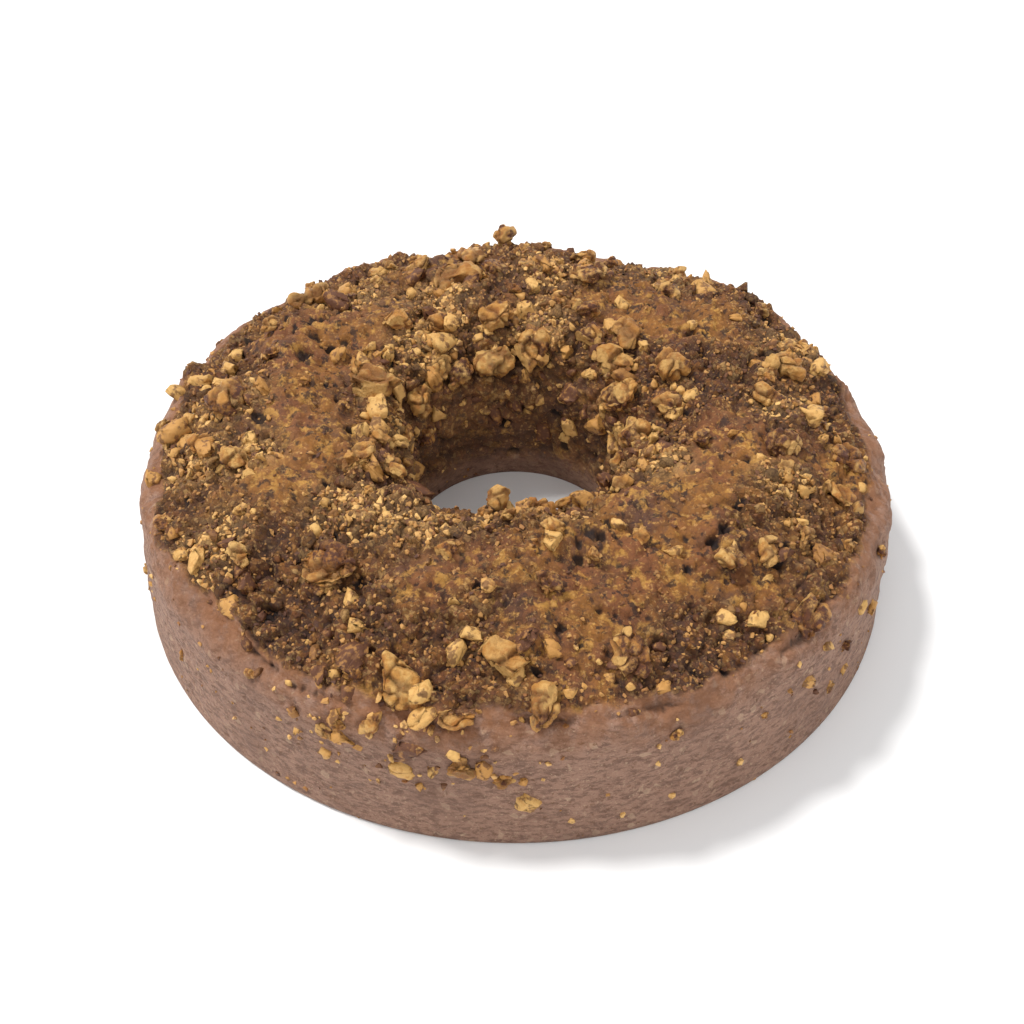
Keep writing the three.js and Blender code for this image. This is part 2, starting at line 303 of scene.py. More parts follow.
def pointsOf(mesh, key="co"):
    values = np.zeros(len(mesh.vertices) * 3, np.float32)
    mesh.vertices.foreach_get(key, values)
    return values.reshape(-1, 3).astype(float)


def movePoints(mesh, points):
    mesh.vertices.foreach_set("co", (insideTin(points) * mm).astype(np.float32).ravel())
    mesh.update()


def plainMesh(piece, name):  # the piece with its modifiers applied
    evaluated = piece.evaluated_get(bpy.context.evaluated_depsgraph_get())
    mesh = bpy.data.meshes.new_from_object(evaluated)
    mesh.name = name
    return mesh


def setAttribute(mesh, name, values):
    layer = mesh.attributes.new(name, "FLOAT", "POINT")
    layer.data.foreach_set("value", np.asarray(values, np.float32))


crumb = {
    "clods": [  # across, seed, step, crevice
        (7.4, 51, 1.1, 1.5), (3.5, 54, 0.75, 0.8), (1.9, 57, 0.36, 0.4),
    ],
    "pileUp": 0.7, "calmRough": 0.55, "driftRise": 0.8, "sunk": 0.25,
    "calm": [(0.85, 6.5, 154), (0.55, 2.4, 155)],  # height, across, seed, as in the lists below
    "flank": [(0.35, 6.0, 156), (0.3, 2.1, 157)],
    "browned": [(3, 12, 88)], "brownedBetween": (30, 44), "brownedFlank": 1.9,
    "edgeHeight": 42.6, "edgeBlend": (0.7, 0.9),
    "edge": [(1.5, 19, 41), (0.8, 5, 42), (0.5, 2.5, 40)],
    "holeReach": (46, 36), "holeAlong": (0.5, 0.6), "holeFade": (2, 16), "holeCover": 0.9,
    "collarAt": 42, "collarReach": 13, "collarFront": 0.45,
    "gap": (0.02, 0.4), "gapSlope": 1.4,
    "wildLevel": 0.42, "wild": [(0.75, 21, 43), (0.3, 9, 44)],
    "wildDrift": 0.8, "wildCollar": 0.55, "wildCalm": 1.1, "wildRim": 0.25,
    "rubbleFrom": (0.0, 0.95),
    "widePores": (7.0, 0.5, 0.9, 2.9, 61),  # cell, share, smallest, largest, seed
    "finePores": (3.0, 0.6, 0.5, 1.4, 71),
    "wideDepth": 1.1, "fineDepth": 0.9, "deepPoreDepth": 1.2, "deepPoresAbove": (44, 50),
    "wideOnSide": 0.12, "wideInCalm": 1.15, "wideInRubble": 0.5, "fineOnSide": 0.5,
    "ragged": [(0.4, 3.1, 75), (0.3, 1.4, 76)],
    "tearDepth": 1.8, "tearShade": 0.45, "tearWidth": 0.75, "tearAnywhere": 0.6,
    "rimTears": [(261, 4), (274, 5), (287, 6), (233, 4), (312, 5)],  # azimuth and reach in degrees
    "rimReach": (92, 97), "rimShift": 0.4,
    "lipAbove": 2.4, "lipWidth": 1.9, "lipHeight": 1.1, "lipChange": 0.8,
}


def crownCover(base, height, reach, along):  # the rim's height, the crown, and the wall of the hole
    edge = waves(base, crumb["edge"], crumb["edgeHeight"])
    below, above = crumb["edgeBlend"]
    crown = smooth(height, edge - below, edge + above)
    start, end = (sectionLength[-1] * share for share in crumb["holeAlong"])
    inHole = smooth(reach, *crumb["holeReach"]) * smooth(along, start, end)
    covered = inHole * smooth(base[:, 2], *crumb["holeFade"]) * crumb["holeCover"]
    return edge, np.maximum(crown, covered), inHole


def brokenCrust(base, reach, crown):  # the nutty collar round the hole, and where crust is rubble
    collar = hump(reach, crumb["collarAt"], crumb["collarReach"])
    collar = collar * mix(crumb["collarFront"], 1, smooth(base[:, 1], -25, 25))  # thicker behind
    wild = waves(base, crumb["wild"], crumb["wildLevel"])
    wild += (crumb["wildDrift"] * spots(base, drifts, 0.7) + crumb["wildCollar"] * collar
             - crumb["wildCalm"] * spots(base, calmSpots, 0.8))
    wild += crumb["wildRim"] * smooth(reach, 88, 100)
    return collar, smooth(wild, *crumb["rubbleFrom"]) * crown


def clodRelief(base):  # how high broken crust stands, where its crevices get painted shade, and a draw for each clod
    rough, crevice, tones = np.zeros(len(base)), np.zeros(len(base)), []
    for across, seed, step, deep in crumb["clods"]:
        inside, own = cells(base, across, seed)
        between = 1 - smooth(inside, *crumb["gap"])
        rough += step * own - deep * between ** crumb["gapSlope"]
        crevice = np.maximum(crevice, between * deep / 2)
        tones.append(own)
    return rough + crumb["pileUp"], crevice, 0.5 + 0.25 * tones[0] + 0.25 * tones[1]


def poreDepths(base, crown, rubble):
    wide, wideSize = pores(base, *crumb["widePores"])
    fine, fineSize = pores(base, *crumb["finePores"])
    wideDepth = np.sqrt(wide) * wideSize * crumb["wideDepth"]
    wideDepth = wideDepth * mix(crumb["wideOnSide"], 1, crown)
    wideDepth = wideDepth * mix(crumb["wideInCalm"], crumb["wideInRubble"], rubble)
    fineDepth = np.sqrt(fine) * fineSize * crumb["fineDepth"] * mix(crumb["fineOnSide"], 1, crown)
    return wideDepth + fineDepth


def deepPoreDepths(base):  # how deep the deepest pores are, and how much painted shade they get
    depth, shade = np.zeros(len(base)), np.zeros(len(base))
    for azimuth, radius, size in deepPores:
        ragged = waves(base, crumb["ragged"], awayFrom(base, azimuth, radius) / size)
        within = np.clip(1 - ragged ** 2, 0, 1) * smooth(base[:, 2], *crumb["deepPoresAbove"])
        depth = np.maximum(depth, np.sqrt(within) * size * crumb["deepPoreDepth"])
        shade = np.maximum(shade, within)
    return depth, shade


def rimForm(base, turn, reach, rimLine):  # tears below the browned rim, and its lip
    outer = smooth(reach, *crumb["rimReach"])
    torn = crumb["tearAnywhere"] * smooth(noise(base, 23, 86), 0.0, 0.45)
    for middle, reachDeg in crumb["rimTears"]:
        torn = np.maximum(torn, smooth(np.abs(turn - middle), reachDeg, reachDeg * 0.6))
    tear = hump(rimLine + 1.0 + 0.5 * noise(base, 7, 89), 0, crumb["tearWidth"]) * torn * outer
    lipRise = crumb["lipHeight"] + crumb["lipChange"] * noise(base, 11, 87)
    return tear, hump(rimLine, crumb["lipAbove"], crumb["lipWidth"]) * lipRise * outer


spread = {  # how thickly nuts and crumbs lie, from 0 to 1
    "hoardChips": 1.15, "bandChips": 0.6, "driftChips": 0.5, "strayChips": 0.05,
    "hangingChips": 0.10, "holeChips": 0.55, "spillChips": 0.5, "spillAt": 256, "spillReach": 13,
    "bandAt": 99, "bandReach": 8, "driftCrumbs": 1.3, "otherCrumbs": 0.15, "sideBits": 0.02,
}


def scatterShares(base, reach, turn, collar, drift, rubble, inHole):
    high = base[:, 2]
    onTop = smooth(high, 40, 46)
    hoard = smooth(collar, 0.15, 0.9) * smooth(noise(base, 13, 95), -0.3, 0.5)
    band = hump(reach, spread["bandAt"], spread["bandReach"])
    band = band * smooth(noise(base, 15, 96), -0.1, 0.5)
    calm = spots(base, calmSpots, 1.2)
    chips = spread["hoardChips"] * hoard + spread["bandChips"] * band + spread["driftChips"] * drift
    chips = np.clip(chips + spread["strayChips"], 0, 1) * (1 - 0.9 * calm)
    hang = spread["hangingChips"] * smooth(high, 4, 20) * smooth(noise(base, 20, 97), 0.1, 0.6)
    spill = spread["spillChips"] * hump(turn, spread["spillAt"], spread["spillReach"])
    spill = spill * smooth(high, 14, 34)
    chips = mix(np.clip(hang + spill, 0, 1), chips, onTop)
    onWall = np.maximum(chips, spread["holeChips"] * smooth(high, 14, 34))
    less = spread["otherCrumbs"]
    crumbs = spread["driftCrumbs"] * drift + less * hoard + less * band - less
    crumbs = np.clip(crumbs, 0, 1) * (1 - 0.9 * calm)
    bits = np.clip(0.15 + rubble, 0, 1) * (1 - 0.6 * calm)
    return {
        "chipShare": np.where(inHole > 0.3, onWall, chips),
        "crumbShare": mix(0.01 + 0.4 * spill, crumbs, onTop),
        "bitShare": mix(spread["sideBits"], bits, onTop),
        "clodShare": np.clip(rubble * 1.4 - 0.5, 0, 1) * smooth(high, 43, 46),
    }


def undersideRings(first):  # where each ring starts, its count, and their points
    starts, counts, rings = [], [], []
    step = cake["undersideStep"]
    for radius in np.arange(cake["holeFoot"] + step, cake["radius"] - 2, step):
        starts.append(first + sum(counts))
        counts.append(countRound(radius, step))
        angle = np.arange(counts[-1]) / counts[-1] * 2 * math.pi
        rings.append(np.stack([radius * np.cos(angle), radius * np.sin(angle), 0 * angle], 1))
    flat = np.concatenate(rings)
    flat[:, 2] = 0.5 * smooth(noise(flat, 7, 91), 0.1, 0.7)
    return starts, counts, flat


def cakeCrust():
    starts, counts, azimuths, alongs = [], [], [], []
    for along, count in ringRows():
        starts.append(sum(counts))
        counts.append(count)
        azimuths.append(np.arange(count) / count * 2 * math.pi)
        alongs.append(np.full(count, along))
    azimuth, along = np.concatenate(azimuths), np.concatenate(alongs)
    base, out, height = crustAt(azimuth, along)
    reach, turn = np.hypot(base[:, 0], base[:, 1]), np.degrees(azimuth)

    edge, crown, inHole = crownCover(base, height, reach, along)
    collar, rubble = brokenCrust(base, reach, crown)
    rough, crevice, clod = clodRelief(base)
    calm = waves(base, crumb["calm"]) + crumb["calmRough"] * rough
    browned = smooth(waves(base, crumb["browned"], height), *crumb["brownedBetween"])
    flank = waves(base, crumb["flank"]) * mix(1, crumb["brownedFlank"], browned)
    drift = spots(base, drifts)
    rise = mix(flank, mix(calm, rough, rubble) + crumb["driftRise"] * drift, crown)
    porous = poreDepths(base, crown, rubble)
    deepPore, deepShade = deepPoreDepths(base)
    tear, lip = rimForm(base, turn, reach, height - edge + crumb["rimShift"])
    hollow = porous + deepPore + crumb["tearDepth"] * tear
    lift = (rise - hollow + lip - crumb["sunk"]) * smooth(base[:, 2], 0, 5)
    points = insideTin(base + out * lift[:, None])

    lowStarts, lowCounts, flat = undersideRings(len(points))
    rings = list(zip(starts + lowStarts, counts + lowCounts))
    pairs = zip(rings, rings[1:] + rings[:1])
    faces = np.concatenate([stitch(*lower, *upper) for lower, upper in pairs])
    mesh = meshFrom("cake_crust", np.concatenate([points, flat]), faces)
    # painted shade: the hollow attribute darkens pores and tears, which are already dented in the
    # shape
    shade = (porous + crumb["tearShade"] * crumb["tearDepth"] * tear) / 1.6
    marks = {
        "crown": crown, "rubble": rubble, "clod": clod, "drift": drift * crown, "browned": browned,
        "hollow": np.clip(np.maximum(shade, deepShade), 0, 1),
        "crevice": np.clip(crevice * 1.3, 0, 1) * mix(0.3, 1, rubble) * crown,
        **scatterShares(base, reach, turn, collar, drift, rubble, inHole),
    }
    for name, values in marks.items():
        setAttribute(mesh, name, np.concatenate([values, np.zeros(len(flat))]))
    print("crust:", len(mesh.vertices), "points,", len(faces), "faces")
    return mesh


# Materials

def nodeIn(tree, kind, inputs=(), **settings):
    made = tree.nodes.new(kind)
    for key, value in settings.items():
        setattr(made, key, value)
    for key, value in dict(inputs).items():
        socket = made.inputs[key]
        if isinstance(value, bpy.types.NodeSocket):
            tree.links.new(value, socket)
        else:
            socket.default_value = value
    return made


def mixColor(tree, share, first, second):
    made = nodeIn(tree, "ShaderNodeMix", data_type="RGBA", clamp_factor=True)
    for index, value in ((0, share), (6, first), (7, second)):
        if isinstance(value, bpy.types.NodeSocket):
            tree.links.new(value, made.inputs[index])
        else:
            made.inputs[index].default_value = value
    return made.outputs[2]


def ramp(tree, value, low, high):
    return nodeIn(tree, "ShaderNodeMapRange", {"Value": value, "From Min": low, "From Max": high},
                  interpolation_type="SMOOTHSTEP").outputs["Result"]


def attribute(tree, name):
    return nodeIn(tree, "ShaderNodeAttribute", attribute_name=name).outputs["Fac"]


def speckle(tree, coords, sizeMm, detail, roughness=0.6):
    look = {"Vector": coords, "Scale": 1000 / sizeMm, "Detail": detail, "Roughness": roughness}
    return nodeIn(tree, "ShaderNodeTexNoise", look).outputs["Fac"]


def patches(tree, coords, sizeMm, low, high, detail=3, roughness=0.65):
    return ramp(tree, speckle(tree, coords, sizeMm, detail, roughness), low, high)


def grains(tree, coords, sizeMm):  # a draw for each grain, and how near its edge a point is
    look = {"Vector": coords, "Scale": 1000 / sizeMm, "Randomness": 1.0}
    color = nodeIn(tree, "ShaderNodeTexVoronoi", look).outputs["Color"]
    edge = nodeIn(tree, "ShaderNodeTexVoronoi", look, feature="DISTANCE_TO_EDGE").outputs["Distance"]
    draws = nodeIn(tree, "ShaderNodeSeparateColor", {"Color": color}).outputs["Red"]
    return draws, ramp(tree, edge, 0.12, 0.0)


def maths(tree, operation, a, b):
    return nodeIn(tree, "ShaderNodeMath", {0: a, 1: b}, operation=operation).outputs[0]


def some(tree, share, amount):
    return maths(tree, "MULTIPLY", share, amount)


def layered(tree, coords, color, finish, layers):  # patches of one colour over another
    for name, sizeMm, low, high, detail, roughness, share in layers:
        area = some(tree, patches(tree, coords, sizeMm, low, high, detail, roughness), share)
        color = mixColor(tree, area, color, finish[name])
    return color


def newMaterial(name, roughness, specular=0.25):
    material = bpy.data.materials.new(name)
    material.use_nodes = True
    tree = material.node_tree
    shader = tree.nodes["Principled BSDF"]
    shader.inputs["Roughness"].default_value = roughness
    shader.inputs["Specular IOR Level"].default_value = specular
    coords = nodeIn(tree, "ShaderNodeTexCoord").outputs["Object"]
    return material, tree, shader, coords


def dress(tree, shader, color, height, depthMm):  # the colour and the bumps reach the shader
    tree.links.new(color, shader.inputs["Base Color"])
    bump = nodeIn(tree, "ShaderNodeBump", {"Height": height, "Distance": depthMm * mm})
    tree.links.new(bump.outputs["Normal"], shader.inputs["Normal"])


# gap is painted shade for pores and tears; dark is the crust's own dark patches and also painted
# shade in crevices and between grains
crustFinish = {
    "golden": srgb(142, 93, 42), "brown": srgb(100, 66, 42), "dark": srgb(50, 35, 30),
    "honey": srgb(186, 136, 64), "purple": srgb(82, 58, 50), "reddish": srgb(126, 78, 46),
    "tan": srgb(204, 160, 100), "gap": srgb(36, 28, 27), "flank": srgb(162, 126, 106),
    "flankDark": srgb(122, 92, 77), "flankLight": srgb(212, 182, 150), "browned": srgb(142, 92, 56),
    "roughness": 0.6, "specular": 0.18, "bumpMm": 0.9, "gritMm": 1.5, "fleckMm": 1.9,
    "baked": [  # colour, across in mm, from, to, detail, roughness, share
        ("purple", 24, 0.5, 0.66, 5, 0.65, 0.8), ("brown", 8.5, 0.52, 0.62, 4, 0.65, 0.7),
        ("honey", 4.4, 0.51, 0.62, 4, 0.65, 0.8), ("dark", 3.4, 0.53, 0.62, 4, 0.65, 0.85),
    ],
    "loose": [("reddish", 0.3, 0.46), ("golden", 0.5, 0.66), ("tan", 0.7, 0.82)],  # colour, from, to
    "specks": [  # colour, across in mm, from, to, detail, share
        ("brown", 1.5, 0.54, 0.66, 3, 0.6), ("tan", 1.1, 0.56, 0.68, 2, 0.65),
    ],
    "sidePale": [("flankLight", 0.9, 0.57, 0.68, 3, 0.75, 0.4)],  # these two as the baked list
    "sideDark": [
        ("brown", 1.9, 0.57, 0.67, 4, 0.75, 0.6), ("flankDark", 26, 0.45, 0.75, 3, 0.65, 0.6),
    ],
    "lying": (0.6, 0.6, 1.5),  # squeezes the side's streaks flat
    "looseShare": 0.75, "driftTan": 0.75, "gritShade": 0.45, "busyFrom": (-0.6, 0.7),
    "fleckFrom": (0.94, 0.98), "fleckShare": 0.32, "overbaked": 0.75,
    "creviceShadeShare": 0.7, "hollowFrom": (0.22, 0.75), "hollowShade": 0.9, "gritBump": 0.35,
}


def crownColor(tree, coords, crown):
    c = crustFinish
    rubble = attribute(tree, "rubble")
    baked = mixColor(tree, patches(tree, coords, 15, 0.42, 0.6, 5), c["golden"], c["reddish"])
    baked = layered(tree, coords, baked, c, c["baked"])
    grit, gritGapShade = grains(tree, coords, c["gritMm"])
    tone = maths(tree, "ADD", some(tree, attribute(tree, "clod"), 0.5), some(tree, grit, 0.5))
    loose = c["purple"]
    for name, low, high in c["loose"]:
        loose = mixColor(tree, ramp(tree, tone, low, high), loose, c[name])
    top = mixColor(tree, some(tree, rubble, c["looseShare"]), baked, loose)
    top = mixColor(tree, some(tree, attribute(tree, "drift"), c["driftTan"]), top, c["tan"])

    busy = ramp(tree, rubble, *c["busyFrom"])  # calm crust is smoother and less speckled
    busy = maths(tree, "MAXIMUM", busy, maths(tree, "SUBTRACT", 1.0, crown))
    # painted shade in the gaps between grains
    gapShade = maths(tree, "MULTIPLY", busy, some(tree, gritGapShade, c["gritShade"]))
    top = mixColor(tree, gapShade, top, c["dark"])
    for name, sizeMm, low, high, detail, share in c["specks"]:
        specks = some(tree, patches(tree, coords, sizeMm, low, high, detail), share)
        top = mixColor(tree, maths(tree, "MULTIPLY", busy, specks), top, c[name])
    return top, busy, grit


def sideColor(tree, coords):
    c = crustFinish
    look = {"Vector": coords, "Scale": c["lying"]}
    lying = nodeIn(tree, "ShaderNodeMapping", look).outputs["Vector"]
    side = mixColor(tree, patches(tree, lying, 2.0, 0.42, 0.62, 5, 0.75), c["flank"], c["flankDark"])
    side = layered(tree, coords, side, c, c["sidePale"])
    fleck, fleckEdge = grains(tree, coords, c["fleckMm"])
    bright = maths(tree, "SUBTRACT", ramp(tree, fleck, *c["fleckFrom"]), fleckEdge)
    side = mixColor(tree, some(tree, bright, c["fleckShare"]), side, c["flankLight"])
    side = layered(tree, coords, side, c, c["sideDark"])
    browned = attribute(tree, "browned")
    overbaked = maths(tree, "MULTIPLY", browned, patches(tree, coords, 5, 0.3, 0.6, 4))
    return mixColor(tree, some(tree, overbaked, c["overbaked"]), side, c["browned"])


def crustMaterial():
    c = crustFinish
    material, tree, shader, coords = newMaterial("baked_crust", c["roughness"], c["specular"])
    crown, crevice, hollow = (attribute(tree, k) for k in ("crown", "crevice", "hollow"))
    top, busy, grit = crownColor(tree, coords, crown)
    color = mixColor(tree, crown, sideColor(tree, coords), top)
    # painted shade: the crevices between clods are darkened with the dark colour
    color = mixColor(tree, some(tree, crevice, c["creviceShadeShare"]), color, c["dark"])
    # painted shade: pores and tears take the gap colour
    inHollowShade = some(tree, ramp(tree, hollow, *c["hollowFrom"]), c["hollowShade"])
    color = mixColor(tree, inHollowShade, color, c["gap"])
    height = maths(tree, "ADD", speckle(tree, coords, 1.4, 5, 0.8), some(tree, grit, c["gritBump"]))
    dress(tree, shader, color, maths(tree, "MULTIPLY", height, busy), c["bumpMm"])
    return material


nutFinish = {
    "cream": srgb(220, 174, 104), "meat": srgb(198, 142, 72), "toasted": srgb(164, 100, 45),
    "skin": srgb(92, 56, 42), "crease": srgb(102, 62, 38), "roughness": 0.46, "bumpMm": 1.5,
    "toast": [("toasted", 3.4, 0.52, 0.64, 4, 0.6, 0.6)],  # as the crust's baked list
    "freckles": [("toasted", 1.0, 0.54, 0.66, 3, 0.7, 0.45)],
    "toneToast": 0.35, "cutPale": 0.7, "creaseSkinAndShade": 0.65,
}


def walnutMaterial():
    c = nutFinish
    material, tree, shader, coords = newMaterial("walnut_meat", c["roughness"])
    skin, crease, tone, cut = (attribute(tree, k) for k in ("skin", "crease", "tone", "cut"))
    meat = mixColor(tree, patches(tree, coords, 5.5, 0.42, 0.58, 4, 0.6), c["cream"], c["meat"])
    meat = mixColor(tree, some(tree, tone, c["toneToast"]), meat, c["toasted"])
    meat = layered(tree, coords, meat, c, c["toast"])
    color = mixColor(tree, some(tree, cut, c["cutPale"]), meat, c["cream"])
    patchy = maths(tree, "MULTIPLY", skin, patches(tree, coords, 2.0, 0.68, 0.40, 3, 0.7))
    color = mixColor(tree, patchy, color, c["skin"])
    # the folds darker: partly the kernel's darker skin there, partly painted shade
    color = mixColor(tree, some(tree, crease, c["creaseSkinAndShade"]), color, c["crease"])
    color = layered(tree, coords, color, c, c["freckles"])
    dress(tree, shader, color, speckle(tree, coords, 1.9, 5, 0.8), c["bumpMm"])
    return material


crumbFinish = {
    "nut_chip": {
        "light": srgb(208, 163, 96), "middle": srgb(182, 130, 68), "dark": srgb(96, 60, 40),
        "darkShare": 0.28,
    },
    "nut_grain": {
        "light": srgb(222, 176, 108), "middle": srgb(182, 132, 74), "dark": srgb(106, 70, 46),
        "darkShare": 0.24,
    },
    "cake_bit": {
        "light": srgb(182, 134, 76), "middle": srgb(140, 92, 52), "dark": srgb(88, 58, 44),
        "darkShare": 0.28,
    },
}
crumbLook = {
    "roughness": 0.55, "bumpMm": 0.5,
    "layers": [("middle", 1.6, 0.5, 0.62, 3, 0.6, 0.6), ("dark", 3.1, 0.53, 0.62, 3, 0.6, 0.75)],
}


def crumbMaterial(name):
    c = crumbFinish[name]
    material, tree, shader, coords = newMaterial(name, crumbLook["roughness"])
    tone = attribute(tree, "tone")
    color = mixColor(tree, ramp(tree, tone, 0.2, 0.8), c["light"], c["middle"])
    isDark = ramp(tree, tone, 1 - c["darkShare"], 1.02 - c["darkShare"] * 0.8)
    color = mixColor(tree, isDark, color, c["dark"])
    color = layered(tree, coords, color, c, crumbLook["layers"])
    dress(tree, shader, color, speckle(tree, coords, 1.3, 4, 0.75), crumbLook["bumpMm"])
    return material


# Walnut pieces: each stands for its solid, with the folds and skin of a real kernel

walnut = {
    "smallFaces": 150, "smallLevels": 3, "levels": 2,
    "lobeAcross": 0.6, "lobeLift": 0.11, "creaseDepth": 0.085, "creaseWidth": 0.24,
    "wrinkle": 0.55, "wrinkles": [(1, 2.3, 116), (0.5, 1.15, 115)],  # height, across, seed
    "grain": 0.22, "grains": [(1, 0.8, 121), (1, 1.5, 122)],
    "cuts": 3, "cutLeast": 0.6, "cutMost": 0.95, "cutFlat": 0.94,
    "big": 12, "bareness": 0.05, "covering": (-0.85, 0.35),  # past the first, skin gets rare
}


def drawnWay(thing, number):  # a direction, the same each time
    way = np.array([draw(thing, number + k) * 2 - 1 for k in range(3)])
    return way / max(np.linalg.norm(way), 0.1)


def kernelShape(points, normals, number):  # lobes and creases, then broken faces
    size = np.ptp(points, axis=0).max()
    middle = points.mean(0)
    own = points + number * 37.0
    inside, lobe = cells(own, size * walnut["lobeAcross"], 110, 0.35)
    crease = 1 - smooth(inside, 0.0, walnut["creaseWidth"])
    wrinkle = waves(own, walnut["wrinkles"])
    lift = size * (walnut["lobeLift"] * lobe - walnut["creaseDepth"] * crease ** 1.5)
    lift = lift + walnut["wrinkle"] * min(1, size / walnut["big"]) * wrinkle
    points = points + normals * lift[:, None]
    cut = np.zeros(len(points))
    for k in range(walnut["cuts"]):
        way = drawnWay(number, 70 + 4 * k)
        along = (points - middle) @ way
        limit = along.max() * mix(walnut["cutLeast"], walnut["cutMost"], draw(number, 73 + 4 * k))
        limit = limit + 0.25 * noise(own, 2.2, 117 + k)
        over = np.maximum(along - limit, 0)
        points = points - way * (over * walnut["cutFlat"])[:, None]
        cut = np.maximum(cut, smooth(over, 0.0, 0.35))
    points = points + normals * (walnut["grain"] * waves(own, walnut["grains"]))[:, None]
    # the crease mark darkens the folds: partly darker skin, partly painted shade
    crease = np.maximum(crease, smooth(-wrinkle, 0.35, 0.8)) * (1 - 0.8 * cut)
    bare = walnut["bareness"] * max(size - walnut["big"], 0)
    covered = mix(*walnut["covering"], draw(number, 60)) - bare
    skin = smooth(noise(own, size * 0.5, 123) + covered, 0.0, 0.14) * (1 - cut)
    tone = np.full(len(points), draw(number, 61))
    return points, {"crease": crease, "cut": cut, "skin": skin, "tone": tone}


def walnutPiece(nodeName, material):
    number = int(nodeName.split("_")[1])
    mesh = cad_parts[nodeName].data.copy()
    shape = bmesh.new()
    shape.from_mesh(mesh)
    bmesh.ops.remove_doubles(shape, verts=shape.verts, dist=1e-6)
    few = len(shape.faces) < walnut["smallFaces"]
    shape.to_mesh(mesh)
    shape.free()
    rough = addObject("rough_nut", mesh)
    finer = rough.modifiers.new("finer", "SUBSURF")
    finer.levels = finer.render_levels = walnut["smallLevels"] if few else walnut["levels"]
    finished = plainMesh(rough, f"walnut_piece_{number:02d}")
    bpy.data.objects.remove(rough)

    points, normals = pointsOf(finished) / mm, pointsOf(finished, "normal")
    low, high = (np.array(corner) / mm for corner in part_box(nodeName))
    middle = (points.min(0) + points.max(0)) / 2
    points = (points - middle) * (high - low) / np.ptp(points, axis=0) + (low + high) / 2
    points, marks = kernelShape(points, normals, number)
    for key, values in marks.items():
        setAttribute(finished, key, values)
    finished.polygons.foreach_set("use_smooth", np.ones(len(finished.polygons), bool))
    movePoints(finished, points)
    piece = pieceFrom(finished, material)
    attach(piece, "root")
    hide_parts(nodeName)


# Larger chips baked into the crust, where the solid ring has them

bakedChip = {
    "count": 46, "smallest": 4.2, "largest": 7.8, "onSide": 0.75, "thin": (0.5, 0.8), "narrow": 0.72,
    "innerUpTo": 0.5, "sideFrom": 0.86,  # a draw up to the first is inside, past the second low down
    "inner": (0.52, 0.83), "outer": (0.2, 0.56), "side": (0.07, 0.17),  # shares of the section
    "turnShare": 0.618034, "sunk": 0.28, "raised": 0.08, "lowBelow": 0.18, "levels": 4,
}
wallChips = [  # azimuth, height, size
    (251.5, 38.5, 6.4), (244.8, 32, 5.5), (263, 30, 6.6), (268.5, 25.5, 6.2), (291, 35, 3.6),
    (247, 36, 3.2), (232, 37, 3.6), (305, 26, 3.4), (96, 33, 5.0), (71, 24, 4.4), (150, 36, 4.6),
    (20, 30, 4.0), (338, 36, 3.8),
]
upOuterWall = slice(0, 3 * cake["curveSteps"] - 10)  # the section's foot, wall and shoulder


def chipPlace(i):  # azimuth, share of the section's length, size
    if i >= bakedChip["count"]:
        azimuth, height, size = wallChips[i - bakedChip["count"]]
        along = np.interp(height, section[upOuterWall, 1], sectionLength[upOuterWall])
        return math.radians(azimuth), along / sectionLength[-1], size
    where, slide = draw(i, 50), draw(i, 51)
    size = mix(bakedChip["smallest"], bakedChip["largest"], draw(i, 52))
    azimuth = 2 * math.pi * ((i * bakedChip["turnShare"]) % 1)
    if where > bakedChip["sideFrom"]:
        return azimuth, mix(*bakedChip["side"], slide), size * bakedChip["onSide"]
    area = bakedChip["inner"] if where <= bakedChip["innerUpTo"] else bakedChip["outer"]
    return azimuth, mix(*area, slide), size


def bakedChips(material):
    ball = bmesh.new()
    bmesh.ops.create_icosphere(ball, subdivisions=bakedChip["levels"], radius=1)
    sphere = np.array([v.co[:] for v in ball.verts])
    ballFaces = np.array([[v.index for v in f.verts] for f in ball.faces])
    ball.free()
    points, faces, marks = [], [], {"crease": [], "cut": [], "skin": [], "tone": []}
    for i in range(bakedChip["count"] + len(wallChips)):
        azimuth, share, size = chipPlace(i)
        place, out, _ = crustAt(np.array([azimuth]), np.array([share * sectionLength[-1]]))
        place, out = Vector(place[0]), Vector(out[0]).normalized()
        level = Vector((-math.sin(azimuth), math.cos(azimuth), 0))
        turned = Matrix.Rotation(draw(i, 53) * math.pi, 3, out) @ level
        axes = np.array([turned, out.cross(turned), out])
        flat = mix(*bakedChip["thin"], draw(i, 54))
        reach = 1 + 0.3 * noise(sphere * 2 + np.array([i, 0, 0]), 1, 11)
        local = sphere * reach[:, None] * np.array([1, bakedChip["narrow"], flat]) * size / 2
        low = share < bakedChip["lowBelow"]  # down the side a chip is sunk in
        lift = -size * flat * bakedChip["sunk"] if low else size * flat * bakedChip["raised"]
        chip = np.array(place + out * lift) + local @ axes
        chip, own = kernelShape(chip, sphere @ axes, 200 + i)
        points.append(chip)
        faces.append(ballFaces + i * len(sphere))
        for key in marks:
            marks[key].append(own[key])
    mesh = meshFrom("baked_chips", insideTin(np.concatenate(points)), np.concatenate(faces))
    for key, values in marks.items():
        setAttribute(mesh, key, np.concatenate(values))
    return pieceFrom(mesh, material)


# Loose chips and crumbs, scattered over the crust by a node tree

def outOf(tree, kind, inputs=(), output=0, **settings):
    return nodeIn(tree, kind, inputs, **settings).outputs[output]


lump = {
    "radius": 0.5, "noiseScale": 1.5, "dent": 1.5, "long": 1.15, "thin": 0.8,
    "cuts": [(0.34, 0.30, 0.22), (0.30, 0.36, 0.26)],  # how far its cut faces lie from the middle
}


